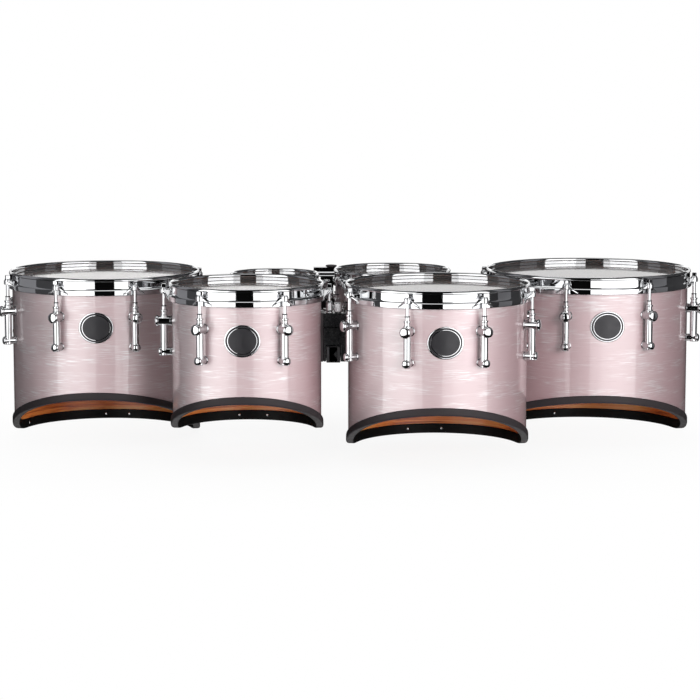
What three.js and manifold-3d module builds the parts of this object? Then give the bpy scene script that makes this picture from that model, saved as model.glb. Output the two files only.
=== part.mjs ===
// Marching tenor drums: four big drums with scooped fronts, two small drums behind them, and the rack
// that carries all six in front of a player. Millimetres, +Z up, -Y towards the audience.
// The origin is the middle of the outer box, on the surface that the set stands on.
import * as THREE from "three";
import { mergeVertices } from "three/addons/utils/BufferGeometryUtils.js";
import Module from "manifold-3d";

const wasm = await Module();
wasm.setup();

// Driving dimensions. Depths are measured down from the top of a drum's own rim, and bearings are
// degrees round a drum from its front, positive to the right as the audience sees it.
// front and rear are the depths of the lower edge, drop is how far the rim lies under the front pair's,
// and turn is the bearing of the first lug.
const DRUM_10 = { size: 10, diameter: 254, front: 193, rear: 257, drop: 0, lugs: 6, turn: -31 };
const DRUM_12 = { size: 12, diameter: 304.8, front: 207.5, rear: 285, drop: 0, lugs: 8, turn: -19.4 };
const DRUM_13 = { size: 13, diameter: 330.2, front: 213, rear: 296, drop: 3, lugs: 8, turn: -22.5 };
const DRUM_14 = { size: 14, diameter: 355.6, front: 220, rear: 300, drop: 0, lugs: 8, turn: -16.7 };
const DRUM_8 = { size: 8, diameter: 203.2, front: 125, rear: 125, drop: 9, lugs: 6, turn: 0 };
const DRUM_6 = { size: 6, diameter: 152.4, front: 115, rear: 115, drop: 17, lugs: 4, turn: 45 };
const BIG_DRUMS = [DRUM_10, DRUM_12, DRUM_13, DRUM_14];
const SMALL_DRUMS = [DRUM_6, DRUM_8];

// Where the drums stand, from the clear space between their shells.
const FRONT_GAP = 46;
const OUTER_13_GAP = 65;
const OUTER_13_BEARING = -132.2;
const OUTER_14_GAP = 41;
const OUTER_14_BEARING = 131.3;
const SMALL_GAP = 37;
const SMALL_ROW_GAP = 66;
const SMALL_PAIR_SHIFT = -17;

// Fits: pieces that touch, pieces that slide, how far a cutter passes a face, how deep a join goes.
const SEAT_GAP = 0.3;
const RUNNING_GAP = 0.6;
const OVERRUN = 5;
const JOIN = 2;
const WELD = 1e-4;

// Facets of the round pieces.
const BIG_SIDES = 32;
const SMALL_SIDES = 24;
const TUBE_SIDES = 6;
const POST_SIDES = 12;

// Shell, and its lower edge: level behind, and cut by a plane that rises to the front lip. The shares
// are of the radius, from the middle to the back, but for the ease, a share of the plane's run.
const SHELL_WALL = 6.5;
const BEARING_FLAT = 2;
const BEARING_FALL = 5.5;
const SCOOP_FRONT_SHARE = -1;
const SCOOP_REAR_SHARE = 0.13;
const SCOOP_EASE_SHARE = 0.15;

// Head: the film, its collar down the outside of the shell, and the flesh hoop that the rim pulls on.
const HEAD_RECESS = 11;
const FILM_THICKNESS = 1;
const COLLAR_WALL = 1;
const FLESH_HOOP_WIDTH = 3.1;
const FLESH_HOOP_HEIGHT = 6.2;

// Rim: an upright band that stands on the flesh hoop, and a skirt round the outside of the hoop.
const RIM_WALL = 2.8;
const RIM_FOOT_DEPTH = 21;
const RIM_FLARE_DEPTH = 18.5;
const SKIRT_WALL = 2.2;
const SKIRT_TOP_DEPTH = 22.5;
const SKIRT_DEPTH = 30;

// Winged ears of the rim, and the tension rods with square heads.
const ROD_OFFSET = 14;
const ROD_RADIUS = 3;
const ROD_DEPTH = 85;
const ROD_HEAD_TOP = 3.5;
const ROD_HEAD_WIDTH = 7;
const EAR_TOP = 13;
const EAR_HEIGHT = 7;
const EAR_HALF_WIDTH = 6.5;
const EAR_REACH = 6;
const WING_HALF_SPAN = 20;
const WING_TIP_TOP = 25.5;
const WING_TIP_BOTTOM = 29.5;
const WING_PROUD = 2.5;

// Tube lugs: a bored tube on two posts, with a round cap on the upper post.
const LUG_TOP = 41;
const LUG_RADIUS = 6.4;
const UPPER_POST_DEPTH = 67.5;
const UPPER_POST_RADIUS = 8;
const BIG_POST_SPACING = 52.5;
const SMALL_POST_SPACING = 22;
const LOWER_POST_RADIUS = 6.8;
const LUG_TAIL = 7;
const CAP_RADIUS = 9.5;
const CAP_THICKNESS = 6.5;
const CAP_NECK = 3;

// Edge guard: a channel pressed over the lower edge of a big drum.
const GUARD_SOLE = 3;
const GUARD_OUTER_WALL = 3.8;
const GUARD_OUTER_HEIGHT = 13.5;
const GUARD_INNER_WALL = 2.5;
const GUARD_INNER_HEIGHT = 17;

// Plain oval badge plate.
const BADGE_WIDTH = 60;
const BADGE_HEIGHT = 54;
const BADGE_THICKNESS = 2.2;
const BADGE_DEPTH = 86;
const BADGE_SIDES = 20;

// Saddle pads of rubber between a shell and what carries it.
const PAD_THICKNESS = 4.4;

// Front block, which holds the two front shells and one tension rod of the ten-inch drum. Its lower
// half has a slot for the spine tube.
const RACK_LUG_INDEX = 2;
const BLOCK_FRONT_REACH = 14;
const BLOCK_REAR_REACH = 36;
const BLOCK_HALF_WIDTH = 45;
const BLOCK_TOP = 53;
const BLOCK_SEAM = 77;
const BLOCK_SLOT_TOP = 109;
const BLOCK_BOTTOM = 136;
const RACK_NUT_RADIUS = 6;
const RACK_NUT_HEIGHT = 20;
const BLOCK_KNOB_SHIFT = 5.5;
const BLOCK_KNOB_RADIUS = 6.5;
const BLOCK_KNOB_HEIGHT = 17;
const BLOCK_STUD_RADIUS = 3;
const BLOCK_STUD_LENGTH = 22;

// Rack tubes.
const TUBE_WALL = 3;
const SPINE_WIDTH = 24;
const SPINE_SHIFT = -2.2;
const SPINE_HEIGHT = 28;
const SPINE_FRONT_REACH = 16;
const CROSSBAR_HEIGHT = 20;
const CROSSBAR_WIDTH = 38;
const REAR_ARM_WIDTH = 30;
const REAR_BAR_WIDTH = 20;
const REAR_BAR_SPAN = 88;

// End brackets that hold the outer shells on the crossbar.
const BRACKET_THICKNESS = 14;
const BRACKET_WIDTH = 60;
const BRACKET_RISE = 16;

// Post, clamp block and stop collar of the small drums.
const POST_RADIUS = 7;
const POST_TOP = 30;
const CLAMP_TOP = 62;
const CLAMP_BOTTOM = 98;
const CLAMP_WIDTH = 44;
const COLLAR_RADIUS = 13;
const COLLAR_HEIGHT = 12;

// Wing screws: a threaded shaft and a flat wing.
const SCREW_RADIUS = 3;
const WING_SPAN = 26;
const WING_HEIGHT = 12;
const WING_THICKNESS = 5;
const WING_STANDOFF = 6;

// Sockets for the carrier's hook bars, and the upright with its hook bar and knob.
const SOCKET_WIDTH = 32;
const SOCKET_HEIGHT = 60;
const SOCKET_SLOT_WIDTH = 22;
const SOCKET_SLOT_DEPTH = 9;
const SOCKET_SCREW_DROP = 20;
const REAR_BAR_SETBACK = 95;
const UPRIGHT_WIDTH = 24;
const UPRIGHT_THICKNESS = 12;
const HOOK_BAR_TOP = 17;
const HOOK_BAR_HEIGHT = 18;
const HOOK_BAR_WIDTH = 50;
const HOOK_BAR_THICKNESS = 22;
const HOOK_KNOB_RADIUS = 11;
const HOOK_KNOB_HEIGHT = 4;
const HOOK_KNOB_SHIFT = 8;

// Finishes.
const finish = (color, roughness, metalness) =>
  new THREE.MeshStandardMaterial({ color, roughness, metalness, flatShading: true });
const PEARL = finish(0xc9a3ae, 0.25, 0.1);
const FILM = finish(0xe8e4dc, 0.35, 0);
const CHROME = finish(0xd4d6da, 0.12, 1);
const RUBBER = finish(0x161616, 0.7, 0);
const BLACK_METAL = finish(0x1b1c1e, 0.45, 0.6);
const DARK_PLATE = finish(0x2b2d30, 0.35, 0.4);

// Solids: a closed geometry becomes a solid, whichever way round its faces were listed.
function solid(geometry) {
  const bare = new THREE.BufferGeometry();
  bare.setAttribute("position", geometry.getAttribute("position"));
  bare.setIndex(geometry.index);
  const welded = mergeVertices(bare, WELD);
  const corners = [];
  for (let i = 0; i < welded.index.count; i += 3) {
    const [a, b, c] = [0, 1, 2].map((k) => welded.index.getX(i + k));
    if (a !== b && b !== c && c !== a) corners.push(a, b, c);
  }
  const build = (triVerts) =>
    new wasm.Manifold(
      new wasm.Mesh({
        numProp: 3,
        vertProperties: new Float32Array(welded.attributes.position.array),
        triVerts: new Uint32Array(triVerts),
      }),
    );
  const made = build(corners);
  return made.volume() > 0 ? made : build(corners.reverse());
}

function joined(solids) {
  return solids.reduce((whole, next) => whole.add(next));
}

function mesh(name, body, material) {
  const result = body.getMesh();
  const geometry = new THREE.BufferGeometry();
  geometry.setAttribute("position", new THREE.BufferAttribute(result.vertProperties, result.numProp));
  geometry.setIndex(new THREE.BufferAttribute(result.triVerts, 1));
  geometry.computeVertexNormals();
  const piece = new THREE.Mesh(geometry, material);
  piece.name = name;
  return piece;
}

// A block between two opposite corners.
function block([x0, y0, z0], [x1, y1, z1]) {
  return new THREE.BoxGeometry(x1 - x0, y1 - y0, z1 - z0).translate(
    (x0 + x1) / 2,
    (y0 + y1) / 2,
    (z0 + z1) / 2,
  );
}

// An upright round bar between two heights.
function upright(radius, z0, z1, sides, x = 0, y = 0) {
  return new THREE.CylinderGeometry(radius, radius, z1 - z0, sides)
    .rotateX(Math.PI / 2)
    .translate(x, y, (z0 + z1) / 2);
}

// A round bar that lies along Y between two places.
function lying(radius, y0, y1, sides, x, z) {
  return new THREE.CylinderGeometry(radius, radius, Math.abs(y1 - y0), sides).translate(
    x,
    (y0 + y1) / 2,
    z,
  );
}

// A ring turned about the upright axis, from the corners of its section as [radius, height].
function turned(section, sides) {
  const corners = [...section, section[0]].map(([radius, height]) => new THREE.Vector2(radius, height));
  return new THREE.LatheGeometry(corners, sides).rotateX(Math.PI / 2);
}

// A round hole's corner radius, so that its flats clear a shaft that turns in it.
const boreRadius = (shaft, gap) => (shaft + gap) / Math.cos(Math.PI / TUBE_SIDES);

const radians = THREE.MathUtils.degToRad;
const radiusOf = (drum) => drum.diameter / 2;
const sidesOf = (drum) => (BIG_DRUMS.includes(drum) ? BIG_SIDES : SMALL_SIDES);
const bearings = (drum) => Array.from({ length: drum.lugs }, (_, i) => drum.turn + (i * 360) / drum.lugs);

// Places of the drums in the plane, with the middle of the front gap at x = 0.
function besideDrum(from, bearing, gap, drum) {
  const reach = radiusOf(from) + gap + radiusOf(drum);
  return {
    x: from.place.x + reach * Math.sin(radians(bearing)),
    y: from.place.y - reach * Math.cos(radians(bearing)),
  };
}
DRUM_10.place = { x: -FRONT_GAP / 2 - radiusOf(DRUM_10), y: 0 };
DRUM_12.place = { x: FRONT_GAP / 2 + radiusOf(DRUM_12), y: 0 };
DRUM_13.place = besideDrum(DRUM_10, OUTER_13_BEARING, OUTER_13_GAP, DRUM_13);
DRUM_14.place = besideDrum(DRUM_12, OUTER_14_BEARING, OUTER_14_GAP, DRUM_14);
const SMALL_ROW_Y = radiusOf(DRUM_12) + SMALL_ROW_GAP + radiusOf(DRUM_8);
DRUM_6.place = { x: SMALL_PAIR_SHIFT - SMALL_GAP / 2 - radiusOf(DRUM_6), y: SMALL_ROW_Y };
DRUM_8.place = { x: SMALL_PAIR_SHIFT + SMALL_GAP / 2 + radiusOf(DRUM_8), y: SMALL_ROW_Y };

// Radii and depths that several pieces of a drum share.
const collarOuter = (drum) => radiusOf(drum) + SEAT_GAP + COLLAR_WALL;
const hoopOuter = (drum) => collarOuter(drum) + FLESH_HOOP_WIDTH;
const rimInner = (drum) => collarOuter(drum) + SEAT_GAP;
const bandOuter = (drum) => rimInner(drum) + RIM_WALL;
const skirtInner = (drum) => hoopOuter(drum) + SEAT_GAP;
const skirtOuter = (drum) => skirtInner(drum) + SKIRT_WALL;
const rodCircle = (drum) => radiusOf(drum) + ROD_OFFSET;
const SHELL_TOP = HEAD_RECESS + FILM_THICKNESS + SEAT_GAP;
const HOOP_TOP = RIM_FOOT_DEPTH + SEAT_GAP;

// How far the lower edge has risen above its rear depth, at a share of the radius from the centre.
function edgeRise(drum, share) {
  const along = (share - SCOOP_FRONT_SHARE) / (SCOOP_REAR_SHARE - SCOOP_FRONT_SHARE);
  const run = Math.min(along, 1 + SCOOP_EASE_SHARE);
  const rounded = Math.max(0, run - (1 - SCOOP_EASE_SHARE));
  return (drum.rear - drum.front) * (1 - run + (rounded * rounded) / (4 * SCOOP_EASE_SHARE));
}

// Lifts the points of a ring that lie below a depth, so that they follow the scooped edge.
function scooped(geometry, drum, below) {
  const points = geometry.getAttribute("position");
  for (let i = 0; i < points.count; i += 1) {
    const [x, y, z] = [points.getX(i), points.getY(i), points.getZ(i)];
    if (z < -below) points.setZ(i, z + edgeRise(drum, y / Math.hypot(x, y)));
  }
  return geometry;
}

// A tube lug at the front of a drum: bored tube, upper post with its cap, and lower post.
function lugParts(drum) {
  const axis = rodCircle(drum);
  const root = radiusOf(drum) - JOIN;
  const lowerPost = UPPER_POST_DEPTH + (BIG_DRUMS.includes(drum) ? BIG_POST_SPACING : SMALL_POST_SPACING);
  const rodBore = boreRadius(ROD_RADIUS, RUNNING_GAP);
  const boreEnd = ROD_DEPTH + RUNNING_GAP;
  const tube = turned(
    [
      [rodBore, -LUG_TOP],
      [LUG_RADIUS, -LUG_TOP],
      [LUG_RADIUS, -lowerPost - LUG_TAIL],
      [0, -lowerPost - LUG_TAIL],
      [0, -boreEnd],
      [rodBore, -boreEnd],
    ],
    TUBE_SIDES,
  ).translate(0, -axis, 0);
  const neckEnd = axis + LUG_RADIUS + CAP_NECK;
  const upperPost = lying(UPPER_POST_RADIUS, -neckEnd - JOIN, -root, TUBE_SIDES, 0, -UPPER_POST_DEPTH);
  const cap = lying(CAP_RADIUS, -neckEnd - CAP_THICKNESS, -neckEnd, TUBE_SIDES, 0, -UPPER_POST_DEPTH);
  const foot = lying(LOWER_POST_RADIUS, -axis - LUG_RADIUS, -root, TUBE_SIDES, 0, -lowerPost);
  const bore = upright(rodBore, -boreEnd, -LUG_TOP + OVERRUN, TUBE_SIDES, 0, -axis);
  return { added: [tube, upperPost, cap, foot], bore };
}

// Shell with its lugs bolted on. The rack holds one rod of the ten-inch drum in place of a lug.
function shell(drum) {
  const outer = radiusOf(drum);
  const inner = outer - SHELL_WALL;
  const bottom = drum.rear - GUARD_SOLE - SEAT_GAP;
  const ring = turned(
    [
      [outer, -SHELL_TOP],
      [outer, -bottom],
      [inner, -bottom],
      [inner, -SHELL_TOP - BEARING_FALL],
      [outer - BEARING_FLAT, -SHELL_TOP],
    ],
    sidesOf(drum),
  );
  const wall = solid(scooped(ring, drum, drum.front / 2));
  const carried = bearings(drum).filter((_, i) => drum !== DRUM_10 || i !== RACK_LUG_INDEX);
  return carried.reduce((whole, bearing) => {
    const lug = lugParts(drum);
    const lugBody = joined(lug.added.map((g) => solid(g.rotateZ(radians(bearing)))));
    return whole.add(lugBody.subtract(solid(lug.bore.rotateZ(radians(bearing)))));
  }, wall);
}

function head(drum) {
  return solid(
    turned(
      [
        [0, -HEAD_RECESS],
        [collarOuter(drum), -HEAD_RECESS],
        [collarOuter(drum), -HOOP_TOP],
        [hoopOuter(drum), -HOOP_TOP],
        [hoopOuter(drum), -HOOP_TOP - FLESH_HOOP_HEIGHT],
        [radiusOf(drum) + SEAT_GAP, -HOOP_TOP - FLESH_HOOP_HEIGHT],
        [radiusOf(drum) + SEAT_GAP, -HEAD_RECESS - FILM_THICKNESS],
        [0, -HEAD_RECESS - FILM_THICKNESS],
      ],
      sidesOf(drum),
    ),
  );
}

// A tension rod at the front of a drum, with its square head standing on the ear.
function rod(drum, seat) {
  const axis = rodCircle(drum);
  const half = ROD_HEAD_WIDTH / 2;
  return [
    upright(ROD_RADIUS, -ROD_DEPTH, -ROD_HEAD_TOP - half, TUBE_SIDES, 0, -axis),
    block([-half, -axis - half, -EAR_TOP + seat], [half, -axis + half, -ROD_HEAD_TOP]),
  ];
}

// A winged ear at the front of a drum: the middle carries the rod, and the wings taper onto the skirt.
function ear(drum) {
  const back = bandOuter(drum) - RIM_WALL / 2;
  const front = rodCircle(drum) + EAR_REACH;
  const tip = skirtOuter(drum) + WING_PROUD;
  const middle = block(
    [-EAR_HALF_WIDTH, -front, -EAR_TOP - EAR_HEIGHT],
    [EAR_HALF_WIDTH, -back, -EAR_TOP],
  );
  const wing = (side) => {
    const outline = new THREE.Shape([
      new THREE.Vector2(side * WING_HALF_SPAN, -WING_TIP_BOTTOM),
      new THREE.Vector2(side * EAR_HALF_WIDTH, -EAR_TOP - EAR_HEIGHT),
      new THREE.Vector2(side * EAR_HALF_WIDTH, -EAR_TOP),
      new THREE.Vector2(side * WING_HALF_SPAN, -WING_TIP_TOP),
    ]);
    const slab = new THREE.ExtrudeGeometry(outline, { depth: front - back, bevelEnabled: false })
      .rotateX(Math.PI / 2)
      .translate(0, -back, 0);
    const points = slab.getAttribute("position");
    for (let i = 0; i < points.count; i += 1) {
      const atTip = Math.abs(points.getX(i)) > EAR_HALF_WIDTH + WELD;
      if (atTip && points.getY(i) < -tip) points.setY(i, -tip);
    }
    return slab;
  };
  return [middle, wing(-1), wing(1)];
}

// Rim with its ears, and with all its tension rods but the first, which is a piece of its own.
function rim(drum) {
  const band = turned(
    [
      [rimInner(drum), 0],
      [rimInner(drum), -RIM_FOOT_DEPTH],
      [skirtInner(drum), -RIM_FOOT_DEPTH],
      [skirtInner(drum), -SKIRT_DEPTH],
      [skirtOuter(drum), -SKIRT_DEPTH],
      [skirtOuter(drum), -SKIRT_TOP_DEPTH],
      [bandOuter(drum), -RIM_FLARE_DEPTH],
      [bandOuter(drum), 0],
    ],
    sidesOf(drum),
  );
  const hoopRoom = upright(skirtInner(drum), -SKIRT_DEPTH - OVERRUN, -RIM_FOOT_DEPTH, sidesOf(drum));
  const eared = bearings(drum).reduce((whole, bearing, i) => {
    const parts = i === 0 ? ear(drum) : [...ear(drum), ...rod(drum, 0)];
    return whole.add(joined(parts.map((g) => solid(g.rotateZ(radians(bearing))))));
  }, solid(band));
  const rodHole = upright(
    boreRadius(ROD_RADIUS, SEAT_GAP),
    -EAR_TOP - EAR_HEIGHT - OVERRUN,
    -EAR_TOP + OVERRUN,
    TUBE_SIDES,
    0,
    -rodCircle(drum),
  ).rotateZ(radians(bearings(drum)[0]));
  return eared.subtract(solid(hoopRoom)).subtract(solid(rodHole));
}

function tuningRod(drum) {
  return joined(rod(drum, SEAT_GAP).map((g) => solid(g.rotateZ(radians(bearings(drum)[0])))));
}

function guard(drum) {
  const shellOuter = radiusOf(drum) + SEAT_GAP;
  const shellInner = radiusOf(drum) - SHELL_WALL - SEAT_GAP;
  const bottom = -drum.rear;
  const sole = bottom + GUARD_SOLE;
  const section = [
    [shellOuter + GUARD_OUTER_WALL, bottom],
    [shellOuter + GUARD_OUTER_WALL, bottom + GUARD_OUTER_HEIGHT],
    [shellOuter, bottom + GUARD_OUTER_HEIGHT],
    [shellOuter, sole],
    [shellInner, sole],
    [shellInner, bottom + GUARD_INNER_HEIGHT],
    [shellInner - GUARD_INNER_WALL, bottom + GUARD_INNER_HEIGHT],
    [shellInner - GUARD_INNER_WALL, bottom],
  ];
  return solid(scooped(turned(section, sidesOf(drum)), drum, drum.front / 2));
}

function badge(drum) {
  const inner = radiusOf(drum) + SEAT_GAP;
  const plate = turned(
    [
      [inner, -BADGE_DEPTH + BADGE_HEIGHT],
      [inner + BADGE_THICKNESS, -BADGE_DEPTH + BADGE_HEIGHT],
      [inner + BADGE_THICKNESS, -BADGE_DEPTH - BADGE_HEIGHT],
      [inner, -BADGE_DEPTH - BADGE_HEIGHT],
    ],
    sidesOf(drum),
  );
  const middle = drum.turn + 180 / drum.lugs;
  const oval = new THREE.CylinderGeometry(1, 1, radiusOf(drum), BADGE_SIDES)
    .scale(BADGE_WIDTH / 2, 1, BADGE_HEIGHT / 2)
    .translate(0, -radiusOf(drum), -BADGE_DEPTH)
    .rotateZ(radians(middle));
  return solid(plate).intersect(solid(oval));
}

function drumGroup(drum) {
  const group = new THREE.Group();
  group.position.set(drum.place.x, drum.place.y, -drum.drop);
  group.add(
    mesh(`shell_${drum.size}`, shell(drum), PEARL),
    mesh(`head_${drum.size}`, head(drum), FILM),
    mesh(`rim_${drum.size}`, rim(drum), CHROME),
    mesh(`tuning_rod_${drum.size}`, tuningRod(drum), CHROME),
  );
  if (BIG_DRUMS.includes(drum)) {
    group.add(
      mesh(`guard_${drum.size}`, guard(drum), RUBBER),
      mesh(`badge_${drum.size}`, badge(drum), DARK_PLATE),
    );
  }
  return group;
}

// A ring round a shell between two offsets from its surface, for pads and for cutting saddles.
function shellRing(drum, from, to, top, bottom) {
  const radius = radiusOf(drum);
  return solid(
    turned(
      [
        [radius + from, -top],
        [radius + to, -top],
        [radius + to, -bottom],
        [radius + from, -bottom],
      ],
      sidesOf(drum),
    ).translate(drum.place.x, drum.place.y, 0),
  );
}
const SADDLE_OFFSET = SEAT_GAP + PAD_THICKNESS + SEAT_GAP;
const saddleCut = (drum, top, bottom) => shellRing(drum, -radiusOf(drum), SADDLE_OFFSET, top, bottom);
const saddlePad = (drum, region, top, bottom) =>
  shellRing(drum, SEAT_GAP, SEAT_GAP + PAD_THICKNESS, top, bottom).intersect(region);

// A rectangular tube, open at both ends, along X or Y.
function boxTube(low, high, axis) {
  const innerLow = low.map((v, i) => (i === axis ? v - OVERRUN : v + TUBE_WALL));
  const innerHigh = high.map((v, i) => (i === axis ? v + OVERRUN : v - TUBE_WALL));
  return solid(block(low, high)).subtract(solid(block(innerLow, innerHigh)));
}

// Places of the rack.
const rackRodAngle = radians(bearings(DRUM_10)[RACK_LUG_INDEX]);
const RACK_ROD = {
  x: DRUM_10.place.x + rodCircle(DRUM_10) * Math.sin(rackRodAngle),
  y: DRUM_10.place.y - rodCircle(DRUM_10) * Math.cos(rackRodAngle),
};
const SPINE_TOP = BLOCK_SLOT_TOP + SEAT_GAP;
const CROSSBAR_TOP = SPINE_TOP + SPINE_HEIGHT + SEAT_GAP;
const CROSSBAR_BOTTOM = CROSSBAR_TOP + CROSSBAR_HEIGHT;
const CROSSBAR_Y = (DRUM_13.place.y + DRUM_14.place.y) / 2;
const CROSSBAR_REAR = CROSSBAR_Y + CROSSBAR_WIDTH / 2;
const CROSSBAR_LEFT = DRUM_13.place.x + radiusOf(DRUM_13) + SADDLE_OFFSET + BRACKET_THICKNESS + SEAT_GAP;
const CROSSBAR_RIGHT = DRUM_14.place.x - radiusOf(DRUM_14) - SADDLE_OFFSET - BRACKET_THICKNESS - SEAT_GAP;
const REAR_BAR_FRONT = SMALL_ROW_Y + REAR_BAR_SETBACK;
const REAR_BAR_Y = REAR_BAR_FRONT + REAR_BAR_WIDTH / 2;
const SOCKET_TOP = CROSSBAR_BOTTOM - SOCKET_HEIGHT;
const SOCKET_OFFSET = REAR_BAR_SPAN / 2 + SEAT_GAP + SOCKET_WIDTH / 2;
const HOOK_BAR_BOTTOM = HOOK_BAR_TOP + HOOK_BAR_HEIGHT;

function frontBlock() {
  const region = (top, bottom) =>
    solid(
      block(
        [-BLOCK_HALF_WIDTH, -BLOCK_FRONT_REACH, -bottom],
        [BLOCK_HALF_WIDTH, BLOCK_REAR_REACH, -top],
      ),
    );
  const rodBore = solid(
    upright(
      boreRadius(ROD_RADIUS, RUNNING_GAP),
      -BLOCK_BOTTOM - OVERRUN,
      OVERRUN,
      TUBE_SIDES,
      RACK_ROD.x,
      RACK_ROD.y,
    ),
  );
  const knobY = RACK_ROD.y;
  const studBore = solid(
    upright(
      boreRadius(BLOCK_STUD_RADIUS, SEAT_GAP),
      -BLOCK_TOP - BLOCK_STUD_LENGTH - SEAT_GAP,
      OVERRUN,
      TUBE_SIDES,
      BLOCK_KNOB_SHIFT,
      knobY,
    ),
  );
  const slotHalf = SPINE_WIDTH / 2 + SEAT_GAP;
  const slot = solid(
    block(
      [SPINE_SHIFT - slotHalf, -BLOCK_FRONT_REACH - OVERRUN, -BLOCK_BOTTOM - OVERRUN],
      [SPINE_SHIFT + slotHalf, BLOCK_REAR_REACH + OVERRUN, -BLOCK_SLOT_TOP],
    ),
  );
  const jaw = (top, bottom) =>
    region(top, bottom)
      .subtract(saddleCut(DRUM_10, top - OVERRUN, bottom + OVERRUN))
      .subtract(saddleCut(DRUM_12, top - OVERRUN, bottom + OVERRUN))
      .subtract(rodBore)
      .subtract(studBore)
      .subtract(slot);
  const pad = (drum) => {
    const side = Math.sign(drum.place.x);
    const half = solid(
      block(
        [Math.min(0, side * BLOCK_HALF_WIDTH), -BLOCK_FRONT_REACH, -BLOCK_BOTTOM],
        [Math.max(0, side * BLOCK_HALF_WIDTH), BLOCK_REAR_REACH, -BLOCK_TOP],
      ),
    );
    return saddlePad(drum, half, BLOCK_TOP, BLOCK_BOTTOM);
  };
  const nutTop = BLOCK_TOP - SEAT_GAP;
  const nut = solid(
    upright(RACK_NUT_RADIUS, -nutTop, -nutTop + RACK_NUT_HEIGHT, POST_SIDES, RACK_ROD.x, RACK_ROD.y),
  ).subtract(rodBore);
  const knob = joined([
    solid(
      upright(
        BLOCK_KNOB_RADIUS,
        -nutTop,
        -nutTop + BLOCK_KNOB_HEIGHT,
        POST_SIDES,
        BLOCK_KNOB_SHIFT,
        knobY,
      ),
    ),
    solid(
      upright(
        BLOCK_STUD_RADIUS,
        -BLOCK_TOP - BLOCK_STUD_LENGTH,
        -nutTop + JOIN,
        TUBE_SIDES,
        BLOCK_KNOB_SHIFT,
        knobY,
      ),
    ),
  ]);
  return [
    mesh("front_block_upper", jaw(BLOCK_TOP, BLOCK_SEAM - SEAT_GAP), BLACK_METAL),
    mesh("front_block_lower", jaw(BLOCK_SEAM, BLOCK_BOTTOM), BLACK_METAL),
    mesh("front_pad_10", pad(DRUM_10), RUBBER),
    mesh("front_pad_12", pad(DRUM_12), RUBBER),
    mesh("rack_nut", nut, CHROME),
    mesh("block_knob", knob, CHROME),
  ];
}

function rackTubes() {
  const spine = boxTube(
    [SPINE_SHIFT - SPINE_WIDTH / 2, -SPINE_FRONT_REACH, -SPINE_TOP - SPINE_HEIGHT],
    [SPINE_SHIFT + SPINE_WIDTH / 2, CROSSBAR_REAR, -SPINE_TOP],
    1,
  );
  const crossbar = boxTube(
    [CROSSBAR_LEFT, CROSSBAR_Y - CROSSBAR_WIDTH / 2, -CROSSBAR_BOTTOM],
    [CROSSBAR_RIGHT, CROSSBAR_REAR, -CROSSBAR_TOP],
    0,
  );
  const armHalf = REAR_ARM_WIDTH / 2;
  const rearArm = boxTube(
    [SMALL_PAIR_SHIFT - armHalf, CROSSBAR_REAR + SEAT_GAP, -CROSSBAR_BOTTOM],
    [SMALL_PAIR_SHIFT + armHalf, REAR_BAR_FRONT - SEAT_GAP, -CROSSBAR_TOP],
    1,
  );
  const barHalf = REAR_BAR_SPAN / 2;
  const rearBar = boxTube(
    [SMALL_PAIR_SHIFT - barHalf, REAR_BAR_FRONT, -CROSSBAR_BOTTOM],
    [SMALL_PAIR_SHIFT + barHalf, REAR_BAR_FRONT + REAR_BAR_WIDTH, -CROSSBAR_TOP],
    0,
  );
  return [
    mesh("spine_tube", spine, BLACK_METAL),
    mesh("crossbar", crossbar, BLACK_METAL),
    mesh("rear_arm", rearArm, BLACK_METAL),
    mesh("rear_bar", rearBar, BLACK_METAL),
  ];
}

// An end bracket and its pad, on the side of an outer shell that faces the crossbar.
function endBracket(drum, side) {
  const barEnd = side < 0 ? CROSSBAR_LEFT - SEAT_GAP : CROSSBAR_RIGHT + SEAT_GAP;
  const xs = [barEnd, drum.place.x].sort((a, b) => a - b);
  const top = CROSSBAR_TOP - BRACKET_RISE;
  const bottom = CROSSBAR_BOTTOM + BRACKET_RISE;
  const region = solid(
    block(
      [xs[0], CROSSBAR_Y - BRACKET_WIDTH / 2, -bottom],
      [xs[1], CROSSBAR_Y + BRACKET_WIDTH / 2, -top],
    ),
  );
  return [
    mesh(
      `end_bracket_${drum.size}`,
      region.subtract(saddleCut(drum, top - OVERRUN, bottom + OVERRUN)),
      BLACK_METAL,
    ),
    mesh(`end_pad_${drum.size}`, saddlePad(drum, region, top, bottom), RUBBER),
  ];
}

// A wing screw along Y: tip is where its shaft ends and face is the surface that its wing stands off.
function wingScrew(name, x, z, tip, face) {
  const wingStart = face + WING_STANDOFF;
  const shaft = lying(SCREW_RADIUS, tip, wingStart + JOIN, TUBE_SIDES, x, z);
  const wing = block(
    [x - WING_SPAN / 2, wingStart, z - WING_THICKNESS / 2],
    [x + WING_SPAN / 2, wingStart + WING_HEIGHT, z + WING_THICKNESS / 2],
  );
  return mesh(name, joined([solid(shaft), solid(wing)]), CHROME);
}
const screwHole = (x, z, y0, y1) =>
  solid(lying(boreRadius(SCREW_RADIUS, SEAT_GAP), y0, y1, TUBE_SIDES, x, z));

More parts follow.
